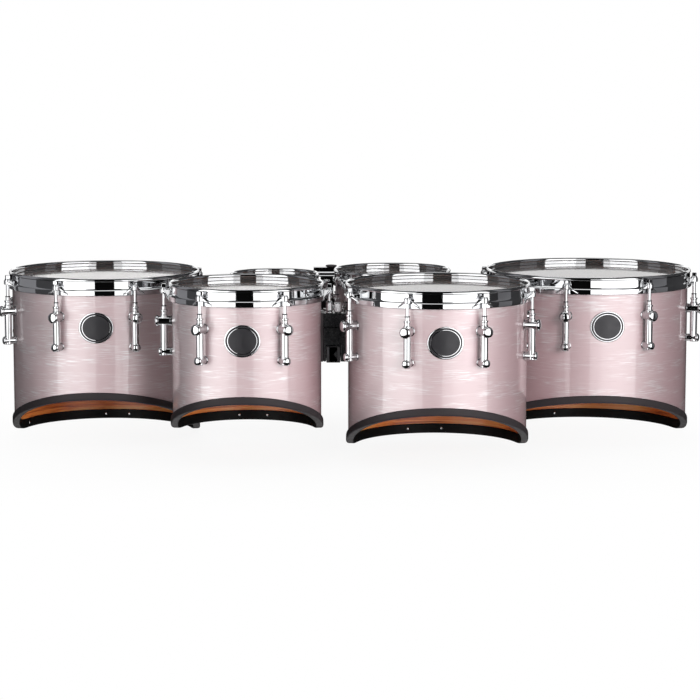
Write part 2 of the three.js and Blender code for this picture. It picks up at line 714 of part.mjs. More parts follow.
function smallDrumClamp() {
  const x = SMALL_PAIR_SHIFT;
  const y = SMALL_ROW_Y;
  const rearFace = y + CLAMP_WIDTH / 2;
  const screwZ = -(CLAMP_TOP + CLAMP_BOTTOM) / 2;
  const postRoom = POST_RADIUS + SEAT_GAP;
  const region = (left, right) =>
    solid(
      block([left, y - CLAMP_WIDTH / 2, -CLAMP_BOTTOM], [right, rearFace, -CLAMP_TOP]),
    );
  const clamp = region(DRUM_6.place.x, DRUM_8.place.x)
    .subtract(saddleCut(DRUM_6, CLAMP_TOP - OVERRUN, CLAMP_BOTTOM + OVERRUN))
    .subtract(saddleCut(DRUM_8, CLAMP_TOP - OVERRUN, CLAMP_BOTTOM + OVERRUN))
    .subtract(solid(upright(postRoom, -CLAMP_BOTTOM - OVERRUN, -CLAMP_TOP + OVERRUN, POST_SIDES, x, y)))
    .subtract(screwHole(x, screwZ, y, rearFace + OVERRUN));
  const post = solid(upright(POST_RADIUS, -CROSSBAR_TOP + SEAT_GAP, -POST_TOP, POST_SIDES, x, y));
  const collarTop = CLAMP_BOTTOM + SEAT_GAP;
  const collar = solid(
    upright(COLLAR_RADIUS, -collarTop - COLLAR_HEIGHT, -collarTop, POST_SIDES, x, y),
  ).subtract(
    solid(upright(postRoom, -collarTop - COLLAR_HEIGHT - OVERRUN, -collarTop + OVERRUN, POST_SIDES, x, y)),
  );
  return [
    mesh("small_clamp", clamp, BLACK_METAL),
    mesh("small_pad_6", saddlePad(DRUM_6, region(DRUM_6.place.x, x), CLAMP_TOP, CLAMP_BOTTOM), RUBBER),
    mesh("small_pad_8", saddlePad(DRUM_8, region(x, DRUM_8.place.x), CLAMP_TOP, CLAMP_BOTTOM), RUBBER),
    mesh("small_post", post, CHROME),
    mesh("stop_collar", collar, CHROME),
    wingScrew("height_screw", x, screwZ, y + postRoom + SEAT_GAP, rearFace),
  ];
}

function carrierSocket(label, side) {
  const x = SMALL_PAIR_SHIFT + side * SOCKET_OFFSET;
  const rearFace = REAR_BAR_FRONT + REAR_BAR_WIDTH;
  const screwZ = -SOCKET_TOP - SOCKET_SCREW_DROP;
  const slotRear = REAR_BAR_Y + SOCKET_SLOT_DEPTH / 2;
  const slot = block(
    [x - SOCKET_SLOT_WIDTH / 2, REAR_BAR_Y - SOCKET_SLOT_DEPTH / 2, -CROSSBAR_BOTTOM - OVERRUN],
    [x + SOCKET_SLOT_WIDTH / 2, slotRear, -SOCKET_TOP + OVERRUN],
  );
  const body = solid(
    block(
      [x - SOCKET_WIDTH / 2, REAR_BAR_FRONT, -CROSSBAR_BOTTOM],
      [x + SOCKET_WIDTH / 2, rearFace, -SOCKET_TOP],
    ),
  )
    .subtract(solid(slot))
    .subtract(screwHole(x, screwZ, REAR_BAR_Y, rearFace + OVERRUN));
  return [
    mesh(`socket_${label}`, body, BLACK_METAL),
    wingScrew(`socket_screw_${label}`, x, screwZ, slotRear, rearFace),
  ];
}

function carrierUpright() {
  const x = SMALL_PAIR_SHIFT;
  const post = block(
    [x - UPRIGHT_WIDTH / 2, REAR_BAR_Y - UPRIGHT_THICKNESS / 2, -CROSSBAR_TOP + SEAT_GAP],
    [x + UPRIGHT_WIDTH / 2, REAR_BAR_Y + UPRIGHT_THICKNESS / 2, -HOOK_BAR_BOTTOM - SEAT_GAP],
  );
  const bar = block(
    [x - HOOK_BAR_WIDTH / 2, REAR_BAR_Y - HOOK_BAR_THICKNESS / 2, -HOOK_BAR_BOTTOM],
    [x + HOOK_BAR_WIDTH / 2, REAR_BAR_Y + HOOK_BAR_THICKNESS / 2, -HOOK_BAR_TOP],
  );
  const knob = upright(
    HOOK_KNOB_RADIUS,
    -HOOK_BAR_TOP + SEAT_GAP,
    -HOOK_BAR_TOP + SEAT_GAP + HOOK_KNOB_HEIGHT,
    POST_SIDES,
    x + HOOK_KNOB_SHIFT,
    REAR_BAR_Y,
  );
  return [
    mesh("carrier_upright", solid(post), BLACK_METAL),
    mesh("hook_bar", solid(bar), CHROME),
    mesh("hook_knob", solid(knob), RUBBER),
  ];
}

// The whole set, moved so that the middle of its box stands on the origin.
const tenorDrums = new THREE.Group();
tenorDrums.add(
  ...[...BIG_DRUMS, ...SMALL_DRUMS].map(drumGroup),
  ...frontBlock(),
  ...rackTubes(),
  ...endBracket(DRUM_13, -1),
  ...endBracket(DRUM_14, 1),
  ...smallDrumClamp(),
  ...carrierSocket("left", -1),
  ...carrierSocket("right", 1),
  ...carrierUpright(),
);
const outerBox = new THREE.Box3().setFromObject(tenorDrums, true);
const middle = outerBox.getCenter(new THREE.Vector3());
tenorDrums.position.set(-middle.x, -middle.y, -outerBox.min.z);

export default tenorDrums;
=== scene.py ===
# Marching tenor drums: six drums on one carrier rack, seen from the audience's side.
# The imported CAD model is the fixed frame, and every visible piece is built around it. Lengths in
# the sections below are millimetres, and they are turned into metres where a mesh is made.
import math

import bpy
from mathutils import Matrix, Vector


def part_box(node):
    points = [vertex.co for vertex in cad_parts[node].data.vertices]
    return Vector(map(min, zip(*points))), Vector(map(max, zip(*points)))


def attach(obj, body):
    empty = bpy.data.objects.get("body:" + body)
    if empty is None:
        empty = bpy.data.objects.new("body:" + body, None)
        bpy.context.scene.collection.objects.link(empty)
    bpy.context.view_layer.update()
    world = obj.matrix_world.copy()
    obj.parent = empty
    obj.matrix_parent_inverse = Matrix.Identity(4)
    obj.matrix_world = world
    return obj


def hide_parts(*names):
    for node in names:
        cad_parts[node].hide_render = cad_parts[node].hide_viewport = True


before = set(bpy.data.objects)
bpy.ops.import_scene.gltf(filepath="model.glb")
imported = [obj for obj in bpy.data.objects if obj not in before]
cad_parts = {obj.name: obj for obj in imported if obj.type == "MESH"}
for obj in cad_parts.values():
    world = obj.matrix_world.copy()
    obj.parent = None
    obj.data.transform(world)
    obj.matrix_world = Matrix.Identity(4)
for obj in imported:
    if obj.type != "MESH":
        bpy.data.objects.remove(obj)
scene = bpy.context.scene
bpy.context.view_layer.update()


# The view: a long lens four metres in front of the set, a little above the rims and looking down.
lens = bpy.data.cameras.new("front_view")
lens.lens = 127.65
lens.sensor_width = 36
lens.clip_end = 60
camera = bpy.data.objects.new("front_view", lens)
camera.location = (-0.0027, -4.339, 0.740)
camera.rotation_euler = (math.radians(82.437), 0, 0)
scene.collection.objects.link(camera)
scene.camera = camera
scene.view_settings.view_transform = "Standard"


# Studio light: two tall softboxes for the reflections, left and right of the camera with a dark
# gap between them, weak lamps overhead and behind, two fill lamps that reflections don't see, and
# a pale room. Black and grey cards stand in the gap and around, as when chrome is photographed.
white_watts = 4  # watts per square metre at which a lamp is plain white


def softbox(name, place, turn, width, height, brightness):
    lamp = bpy.data.lights.new(name, "AREA")
    lamp.shape = "RECTANGLE"
    lamp.size = width
    lamp.size_y = height
    lamp.energy = white_watts * brightness * width * height
    holder = bpy.data.objects.new(name, lamp)
    holder.location = place
    holder.rotation_euler = [math.radians(angle) for angle in turn]
    holder.visible_camera = False
    scene.collection.objects.link(holder)
    return holder


for holder in (
    softbox("softbox_right", (0.98, -1.70, 0.36), (90, 0, 48.7), 2.0, 1.56, 1.8),
    softbox("softbox_left", (-1.035, -1.525, 0.36), (90, 0, -71.2), 1.95, 1.56, 1.8),
):
    holder.visible_diffuse = False
softbox("softbox_top", (0, -0.2, 2.3), (0, 0, 0), 2.4, 1.5, 1.1)
softbox("softbox_back", (0, 3.4, 1.6), (-72, 0, 0), 3.0, 1.4, 0.9)
for holder in (
    softbox("back_fill", (-0.6, 3.4, 0.9), (80, 0, 190), 1.4, 1.4, 7.0),
    softbox("front_fill", (1.4, -3.0, 0.95), (80, 0, 24), 1.0, 1.0, 24.0),
):
    holder.visible_glossy = False


def wired(tree, kind, inputs, **settings):
    # A node with its settings made, and each input given a value or linked to another's output.
    made = tree.nodes.new(kind)
    for name, value in settings.items():
        setattr(made, name, value)
    for socket, value in inputs.items():
        if isinstance(value, bpy.types.NodeSocket):
            tree.links.new(value, made.inputs[socket])
        else:
            made.inputs[socket].default_value = value
    return made


room = bpy.data.worlds.new("pale_room")
room.use_nodes = True
scene.world = room
tree = room.node_tree
# The camera, mirrors and the film see the room white. As light on the drums it is a fifth of that.
rays = wired(tree, "ShaderNodeLightPath", {})
mirrored = wired(
    tree,
    "ShaderNodeMath",
    {0: rays.outputs["Is Glossy Ray"], 1: rays.outputs["Is Transmission Ray"]},
    operation="MAXIMUM",
)
seen = wired(
    tree,
    "ShaderNodeMath",
    {0: rays.outputs["Is Camera Ray"], 1: mirrored.outputs[0]},
    operation="MAXIMUM",
)
strength = wired(
    tree,
    "ShaderNodeMapRange",
    {"Value": seen.outputs[0], "To Min": 0.2, "To Max": 1.0},
)
sky = tree.nodes["Background"]
sky.inputs["Color"].default_value = (1, 1, 1, 1)
tree.links.new(strength.outputs[0], sky.inputs["Strength"])

cards = {}
for shade, grey in (("black", 0.004), ("dark", 0.09), ("grey", 0.36)):
    cards[shade] = bpy.data.materials.new(f"card_{shade}")
    cards[shade].use_nodes = True
    paint = cards[shade].node_tree.nodes["Principled BSDF"]
    paint.inputs["Base Color"].default_value = (grey, grey, grey * 1.05, 1)
    paint.inputs["Roughness"].default_value = 0.9
    paint.inputs["Specular IOR Level"].default_value = 0.1


def card(name, place, extent, turn=(0, 0, 0), shade="black"):
    # Nothing but a reflection sees a card.
    bpy.ops.object.select_all(action="DESELECT")
    bpy.ops.mesh.primitive_plane_add(size=1, location=place)
    piece = bpy.context.object
    piece.name = name
    piece.scale = (*extent, 1)
    piece.rotation_euler = turn
    bpy.ops.object.transform_apply(location=True, rotation=True, scale=True)
    piece.data.materials.append(cards[shade])
    piece.visible_camera = False
    piece.visible_diffuse = False
    piece.visible_shadow = False
    piece.visible_transmission = False


for name, start, end, low, high, shade in (
    ("card_front", (-1.3, -2.62), (0.9, -2.62), -2.0, 2.7, "black"),
    ("card_right", (1.66, -0.94), (2.2, 2.2), -1.6, 2.7, "dark"),
    ("card_left", (-1.37, -0.6), (-2.0, 2.2), -1.6, 2.7, "dark"),
    ("card_right_grey", (1.62, -0.55), (1.72, 0.05), -1.2, 1.6, "grey"),
    ("card_left_grey", (-1.42, -0.1), (-1.52, 0.55), -1.2, 1.6, "grey"),
    ("card_back", (2.2, 2.2), (-2.0, 2.2), -1.6, 0.3, "black"),
    ("card_back_top", (2.2, 2.2), (-2.0, 2.2), 1.0, 2.7, "black"),
):
    middle = [(a + b) / 2 for a, b in zip(start, end)]
    run = [b - a for a, b in zip(start, end)]
    turn = (math.radians(90), 0, math.atan2(run[1], run[0]))
    card(name, (*middle, (low + high) / 2), (math.hypot(*run), high - low), turn, shade)
for name, left, right, front, back, height in (
    ("card_ceiling", -2.3, 2.3, -2.62, 2.2, 2.7),
    ("card_below", -2.3, 2.3, -2.62, -0.25, -0.44),
    ("card_below_left", -2.3, -0.85, -0.25, 2.2, -0.44),
    ("card_below_right", 0.85, 2.3, -0.25, 2.2, -0.44),
):
    card(name, ((left + right) / 2, (front + back) / 2, height), (right - left, back - front))


# Floor: a pale table top that keeps the shadow. Before it ends it fades into the white room, in
# an oval that is wider than deep, as the set of drums is.
floor_reach = 1.9
bpy.ops.object.select_all(action="DESELECT")
bpy.ops.mesh.primitive_circle_add(
    vertices=96, radius=floor_reach, fill_type="NGON", location=(0, 1.15, -0.0006)
)
floor = bpy.context.object
floor.name = "floor"
bpy.ops.object.transform_apply(location=True)
floor.visible_glossy = False
floor_paint = bpy.data.materials.new("floor_paint")
floor_paint.use_nodes = True
tree = floor_paint.node_tree
paint = tree.nodes["Principled BSDF"]
paint.inputs["Base Color"].default_value = (0.86, 0.86, 0.86, 1)
paint.inputs["Roughness"].default_value = 0.65
where = wired(tree, "ShaderNodeTexCoord", {})
across = wired(
    tree,
    "ShaderNodeMapping",
    {"Vector": where.outputs["Object"], "Scale": (0.62, 1, 1)},
)
away = wired(tree, "ShaderNodeVectorMath", {0: across.outputs[0]}, operation="LENGTH")
fade = wired(
    tree,
    "ShaderNodeMapRange",
    {"Value": away.outputs["Value"], "From Max": 0.66, "To Min": 0.88},
    interpolation_type="SMOOTHSTEP",
)
rays = wired(tree, "ShaderNodeLightPath", {})
share = wired(
    tree,
    "ShaderNodeMath",
    {0: fade.outputs[0], 1: rays.outputs["Is Camera Ray"]},
    operation="MULTIPLY",
)
glow = wired(tree, "ShaderNodeEmission", {"Color": (1, 1, 1, 1), "Strength": 1.0})
blend = wired(
    tree,
    "ShaderNodeMixShader",
    {0: share.outputs[0], 1: paint.outputs[0], 2: glow.outputs[0]},
)
tree.links.new(blend.outputs[0], tree.nodes["Material Output"].inputs["Surface"])
floor.data.materials.append(floor_paint)


# Shells: ply tubes with a 45 degree bearing edge, wrapped in pink pearl sheet and stained inside.
# The four big ones are cut away in front: the lower edge is level behind and rises to the front.
hoop_overhang = 4.4  # how far a flesh hoop stands outside its shell
head_depth = 11  # how far the film lies below the rim's top edge
drums = {}
for size, front, rear, lugs, turn in (
    # Head in inches, depth in front and behind, number of rods, and the first rod's bearing.
    (10, 193, 257, 6, -31),
    (12, 207.5, 285, 8, -19.4),
    (13, 213, 296, 8, -22.5),
    (14, 220, 300, 8, -16.7),
    (8, 125, 125, 6, 0),
    (6, 115, 115, 4, 45),
):
    low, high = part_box(f"head_{size}")
    drums[size] = {
        "radius": (high.x - low.x) / 2 * 1000 - hoop_overhang,
        "place": ((low.x + high.x) / 2, (low.y + high.y) / 2, high.z + head_depth / 1000),
        "front": front,
        "rear": rear,
        "lugs": [turn + 360 * step / lugs for step in range(lugs)],
        "body": "rack" if size >= 10 else "small_drums",
    }
big_drums = {size: drum for size, drum in drums.items() if size >= 10}
weld = 0.000002  # points closer than this, in metres, are one


def turned(name, section, sides):
    # A ring of corners is drawn out from corner to corner of the section, as on a lathe. A section
    # that ends where it begins is a hollow ring, and the ends of any other are closed.
    bpy.ops.object.select_all(action="DESELECT")
    radius, height = section[0]
    bpy.ops.mesh.primitive_circle_add(vertices=sides, radius=radius / 1000)
    piece = bpy.context.object
    piece.name = name
    bpy.ops.object.mode_set(mode="EDIT")
    bpy.ops.mesh.select_all(action="SELECT")
    bpy.ops.transform.translate(value=(0, 0, height / 1000))
    for wider, higher in section[1:]:
        step = (0, 0, (higher - height) / 1000)
        bpy.ops.mesh.extrude_edges_move(TRANSFORM_OT_translate={"value": step})
        scale = wider / radius
        bpy.ops.transform.resize(value=(scale, scale, 1), center_override=(0, 0, 0))
        radius, height = wider, higher
    bpy.ops.mesh.select_all(action="SELECT")
    bpy.ops.mesh.remove_doubles(threshold=weld)
    bpy.ops.mesh.fill_holes(sides=0)
    bpy.ops.mesh.select_all(action="SELECT")
    bpy.ops.mesh.normals_make_consistent(inside=False)
    bpy.ops.object.mode_set(mode="OBJECT")
    return piece


def only(piece):
    bpy.ops.object.select_all(action="DESELECT")
    piece.select_set(True)
    bpy.context.view_layer.objects.active = piece


def eased(piece, width, segments=2, angle=30):
    # Edges sharper than the angle are rounded, and faces that meet at less than 38 degrees are
    # shaded as one surface, with the large ones kept flat.
    only(piece)
    if width:
        bevel = piece.modifiers.new("edges", "BEVEL")
        bevel.width = width / 1000
        bevel.segments = segments
        bevel.limit_method = "ANGLE"
        bevel.angle_limit = math.radians(angle)
        bpy.ops.object.modifier_apply(modifier=bevel.name)
    bpy.ops.object.shade_smooth_by_angle(angle=math.radians(38))
    weights = piece.modifiers.new("flats", "WEIGHTED_NORMAL")
    weights.keep_sharp = True
    weights.weight = 100
    bpy.ops.object.modifier_apply(modifier=weights.name)


def moved(piece, place=(0, 0, 0), bearing=0):
    only(piece)
    piece.location = place
    piece.rotation_euler = (0, 0, math.radians(bearing))
    bpy.ops.object.transform_apply(location=True, rotation=True, scale=True)
    return piece


def edge_rise(drum, share):
    # How far the lower edge has risen at a share of the radius, from -1 in front to 1 behind: by a
    # plane's even slope down from the front, eased into the level part behind.
    slope_end = 0.13
    ease = 0.15
    run = min((share + 1) / (1 + slope_end), 1 + ease)
    corner = max(0, run - (1 - ease))
    return (drum["rear"] - drum["front"]) * (1 - run + corner**2 / (4 * ease)) / 1000


def scooped(piece, drum, above):
    # Every point lower than `above` rises with the edge.
    for vertex in piece.data.vertices:
        x, y, z = vertex.co
        if z < above / 1000:
            vertex.co.z += edge_rise(drum, y / math.hypot(x, y))


def ramp(tree, value, stops):
    made = wired(tree, "ShaderNodeValToRGB", {"Fac": value})
    band = made.color_ramp
    band.elements[0].position, band.elements[0].color = stops[0][0], (*stops[0][1], 1)
    band.elements[1].position, band.elements[1].color = stops[-1][0], (*stops[-1][1], 1)
    for position, colour in stops[1:-1]:
        band.elements.new(position).color = (*colour, 1)
    return made.outputs["Color"]


def finish(name, **sockets):
    # A material, with what is the same all over it set on the shader's own sockets.
    made = bpy.data.materials.new(name)
    made.use_nodes = True
    shader = made.node_tree.nodes["Principled BSDF"]
    for socket, value in sockets.items():
        shader.inputs[socket.replace("_", " ")].default_value = value
    return made, made.node_tree, shader


# Shared effect: the fine unevenness of a real finish, as a roughness and a height. Its grains are
# stronger in some patches than in others, and a patch is about eight grains wide.
patch_share = 0.13
unevenness = bpy.data.node_groups.new("fine_unevenness", "ShaderNodeTree")
for name, kind, into in (
    ("Vector", "NodeSocketVector", "INPUT"),
    ("Scale", "NodeSocketFloat", "INPUT"),
    ("Smoothest", "NodeSocketFloat", "INPUT"),
    ("Roughest", "NodeSocketFloat", "INPUT"),
    ("Roughness", "NodeSocketFloat", "OUTPUT"),
    ("Height", "NodeSocketFloat", "OUTPUT"),
):
    unevenness.interface.new_socket(name=name, in_out=into, socket_type=kind)
given = wired(unevenness, "NodeGroupInput", {})
taken = wired(unevenness, "NodeGroupOutput", {})
coarse = wired(
    unevenness,
    "ShaderNodeMath",
    {0: given.outputs["Scale"], 1: patch_share},
    operation="MULTIPLY",
)
patches = wired(
    unevenness,
    "ShaderNodeTexNoise",
    {"Vector": given.outputs["Vector"], "Scale": coarse.outputs[0], "Detail": 4.0},
)
grains = wired(
    unevenness,
    "ShaderNodeTexNoise",
    {"Vector": given.outputs["Vector"], "Scale": given.outputs["Scale"], "Detail": 3.0},
)
both = wired(
    unevenness,
    "ShaderNodeMath",
    {0: patches.outputs[0], 1: grains.outputs[0]},
    operation="MULTIPLY",
)
spread = wired(
    unevenness,
    "ShaderNodeMapRange",
    {
        "Value": both.outputs[0],
        "From Min": 0.15,
        "From Max": 0.36,
        "To Min": given.outputs["Smoothest"],
        "To Max": given.outputs["Roughest"],
    },
)
unevenness.links.new(spread.outputs[0], taken.inputs["Roughness"])
unevenness.links.new(grains.outputs[0], taken.inputs["Height"])


def roughened(tree, shader, scale, smoothest, roughest, depth):
    where = wired(tree, "ShaderNodeTexCoord", {})
    group = wired(
        tree,
        "ShaderNodeGroup",
        {
            "Vector": where.outputs["Object"],
            "Scale": scale,
            "Smoothest": smoothest,
            "Roughest": roughest,
        },
        node_tree=unevenness,
    )
    tree.links.new(group.outputs["Roughness"], shader.inputs["Roughness"])
    if depth:
        bump = wired(
            tree,
            "ShaderNodeBump",
            {"Height": group.outputs["Height"], "Strength": 1.0, "Distance": depth / 1000},
        )
        tree.links.new(bump.outputs[0], shader.inputs["Normal"])


# Pearl sheet: fine hairs that run round the shell, gathered in bundles and bent by a slow drift.
pearl_wrap, tree, shader = finish(
    "pearl_wrap",
    Coat_Weight=1.0,
    Coat_Roughness=0.03,
    Coat_IOR=1.5,
    Specular_IOR_Level=1.0,
    IOR=2.6,
)
where = wired(tree, "ShaderNodeTexCoord", {}).outputs["Object"]
drift = wired(tree, "ShaderNodeTexNoise", {"Vector": where, "Scale": 9.0, "Detail": 2.0})
wave = wired(
    tree,
    "ShaderNodeVectorMath",
    {0: drift.outputs["Color"], 1: (0.0, 0.0, 0.002)},
    operation="MULTIPLY",
)
wavy = wired(
    tree,
    "ShaderNodeVectorMath",
    {0: where, 1: wave.outputs[0]},
    operation="ADD",
).outputs[0]
brushed = wired(tree, "ShaderNodeMapping", {"Vector": wavy, "Scale": (34, 34, 760)})
strands = wired(
    tree,
    "ShaderNodeTexNoise",
    {"Vector": brushed.outputs[0], "Scale": 1.0, "Detail": 3.0, "Roughness": 0.55},
)
wide = wired(tree, "ShaderNodeMapping", {"Vector": wavy, "Scale": (11, 11, 60)})
clusters = wired(
    tree,
    "ShaderNodeTexNoise",
    {"Vector": wide.outputs[0], "Scale": 1.0, "Detail": 2.0, "Roughness": 0.5},
)
hair = wired(
    tree,
    "ShaderNodeMapRange",
    {"Value": strands.outputs[0], "From Min": 0.46, "From Max": 0.64},
    interpolation_type="SMOOTHSTEP",
)
bundles = wired(
    tree,
    "ShaderNodeMapRange",
    {"Value": clusters.outputs[0], "From Min": 0.40, "From Max": 0.62},
    interpolation_type="SMOOTHSTEP",
)
streaks = wired(
    tree,
    "ShaderNodeMath",
    {0: hair.outputs[0], 1: bundles.outputs[0]},
    operation="MULTIPLY",
).outputs[0]
furrows = wired(
    tree,
    "ShaderNodeMapRange",
    {"Value": strands.outputs[0], "From Min": 0.42, "From Max": 0.28, "To Min": 0.3, "To Max": 0.0},
    interpolation_type="SMOOTHSTEP",
)
lit = wired(
    tree,
    "ShaderNodeMath",
    {0: streaks, 1: 0.7, 2: furrows.outputs[0]},
    operation="MULTIPLY_ADD",
)
# From the pink between the hairs to the pale hairs themselves.
tint = ramp(
    tree,
    lit.outputs[0],
    (
        (0.0, (0.34, 0.165, 0.185)),
        (0.3, (0.40, 0.23, 0.25)),
        (0.5, (0.46, 0.315, 0.33)),
        (1.0, (0.62, 0.57, 0.58)),
    ),
)
tree.links.new(tint, shader.inputs["Base Color"])
flake = wired(tree, "ShaderNodeMapRange", {"Value": streaks, "To Min": 0.1, "To Max": 0.4})
tree.links.new(flake.outputs[0], shader.inputs["Metallic"])
gloss = wired(tree, "ShaderNodeMapRange", {"Value": streaks, "To Min": 0.58, "To Max": 0.5})
tree.links.new(gloss.outputs[0], shader.inputs["Roughness"])
bump = wired(tree, "ShaderNodeBump", {"Height": streaks, "Strength": 0.6, "Distance": 0.00006})
tree.links.new(bump.outputs[0], shader.inputs["Normal"])

# Stained ply: its grain runs round the shell, and the plies show where the wall is cut.
stained_ply, tree, shader = finish(
    "stained_ply", Coat_Weight=0.35, Coat_Roughness=0.25, Coat_IOR=1.5
)
where = wired(tree, "ShaderNodeTexCoord", {}).outputs["Object"]
stretch = wired(tree, "ShaderNodeMapping", {"Vector": where, "Scale": (7, 7, 150)})
grain = wired(
    tree,
    "ShaderNodeTexNoise",
    {
        "Vector": stretch.outputs[0],
        "Scale": 1.0,
        "Detail": 6.0,
        "Roughness": 0.62,
        "Distortion": 0.8,
    },
)
wood = ramp(
    tree,
    grain.outputs[0],
    ((0.34, (0.40, 0.080, 0.020)), (0.48, (0.90, 0.27, 0.060)), (0.64, (1.0, 0.50, 0.15))),
)
plies = wired(tree, "ShaderNodeAttribute", {}, attribute_name="through_wall")
half_waves = 18.85  # six of them: three pale and three dark plies
rings = wired(
    tree,
    "ShaderNodeMath",
    {0: plies.outputs["Fac"], 1: half_waves},
    operation="MULTIPLY",
)
wave = wired(tree, "ShaderNodeMath", {0: rings.outputs[0]}, operation="SINE")
ply_tone = wired(
    tree,
    "ShaderNodeMapRange",
    {"Value": wave.outputs[0], "From Min": -0.4, "From Max": 0.4, "To Min": 0.7, "To Max": 1.3},
)
toned = wired(
    tree,
    "ShaderNodeVectorMath",
    {0: wood, "Scale": ply_tone.outputs[0]},
    operation="SCALE",
)
tree.links.new(toned.outputs[0], shader.inputs["Base Color"])
shine = wired(
    tree,
    "ShaderNodeMapRange",
    {"Value": grain.outputs[0], "To Min": 0.55, "To Max": 0.3},
)
tree.links.new(shine.outputs[0], shader.inputs["Roughness"])

wall = 6.5
wrap_top = -12.8  # the sheet ends just below the bearing edge
guard_seat = 3.3  # the guard's web, on which a big shell's edge stands
edge_band = 60  # the lowest part of the wall, which rises with the edge
for size, drum in drums.items():
    radius = drum["radius"]
    inside = radius - wall
    bottom = -drum["rear"] + (guard_seat if size in big_drums else 0)
    section = [
        (radius, -13.0),
        (radius, -40),
        (radius, bottom + edge_band),
        (radius, bottom + 0.6),
        (radius - 0.6, bottom),
        (inside + 0.6, bottom),
        (inside, bottom + 0.6),
        (inside, bottom + edge_band),
        (inside, -17.9),
        (radius - 2.2, -12.5),
        (radius - 1.0, -12.3),
        (radius - 0.4, -12.4),
        (radius, -13.0),
    ]
    shell = turned(f"shell_wrap_{size}", section, 160)
    shell.data.materials.append(pearl_wrap)
    shell.data.materials.append(stained_ply)
    for face in shell.data.polygons:
        across = math.hypot(face.center.x, face.center.y) * 1000
        wrapped = across > radius - 0.5 and face.center.z * 1000 < wrap_top
        face.material_index = 0 if wrapped else 1
    through = shell.data.attributes.new("through_wall", "FLOAT", "POINT")
    for vertex in shell.data.vertices:
        across = math.hypot(vertex.co.x, vertex.co.y) * 1000
        through.data[vertex.index].value = (across - inside) / wall
    if size in big_drums:
        scooped(shell, drum, bottom + edge_band + 1)
    eased(shell, 0)
    moved(shell, drum["place"])
    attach(shell, drum["body"])
    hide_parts(f"shell_{size}")


# Lugs: chrome tubes that hold the tension rods' nuts, each on two posts bolted through the shell.
# A nylon bush sits in the mouth of each, and a domed cap closes the upper post.
chrome, tree, shader = finish("chrome", Base_Color=(0.55, 0.555, 0.565, 1), Metallic=1.0)
roughened(tree, shader, 60, 0.015, 0.05, 0)
nylon, tree, shader = finish("black_nylon", Base_Color=(0.012, 0.012, 0.013, 1))
roughened(tree, shader, 900, 0.35, 0.5, 0.01)

lug_axis = 14  # how far a rod's middle stands outside the shell
tube_parts = (
    # From the mouth down: collar of the nut, its flange, and the neck above the tube.
    ((3.6, -42.2), (4.1, -42.6), (4.1, -48.2), (3.6, -48.6)),
    ((5.2, -48.3), (6.0, -48.6), (6.3, -49.2), (6.3, -51.0), (5.9, -51.7), (5.2, -51.9)),
    ((4.9, -51.5), (5.0, -52.2), (5.0, -56.2), (5.4, -56.8)),
)


def copied(piece, name, bearing=0):
    twin = bpy.data.objects.new(name, piece.data.copy())
    scene.collection.objects.link(twin)
    twin.rotation_euler = (0, 0, math.radians(bearing))
    return twin


def joined(name, pieces):
    bpy.ops.object.select_all(action="DESELECT")
    for piece in pieces:
        piece.select_set(True)
    bpy.context.view_layer.objects.active = pieces[0]
    if len(pieces) > 1:
        bpy.ops.object.join()
    whole = bpy.context.view_layer.objects.active
    whole.name = name
    bpy.ops.object.transform_apply(location=True, rotation=True, scale=True)
    return whole


def laid(piece, height):
    # Lay an upright turned piece down, so that its upper end points to the front.
    only(piece)
    piece.rotation_euler = (math.radians(90), 0, 0)
    piece.location = (0, 0, height / 1000)
    bpy.ops.object.transform_apply(location=True, rotation=True, scale=True)
    return piece


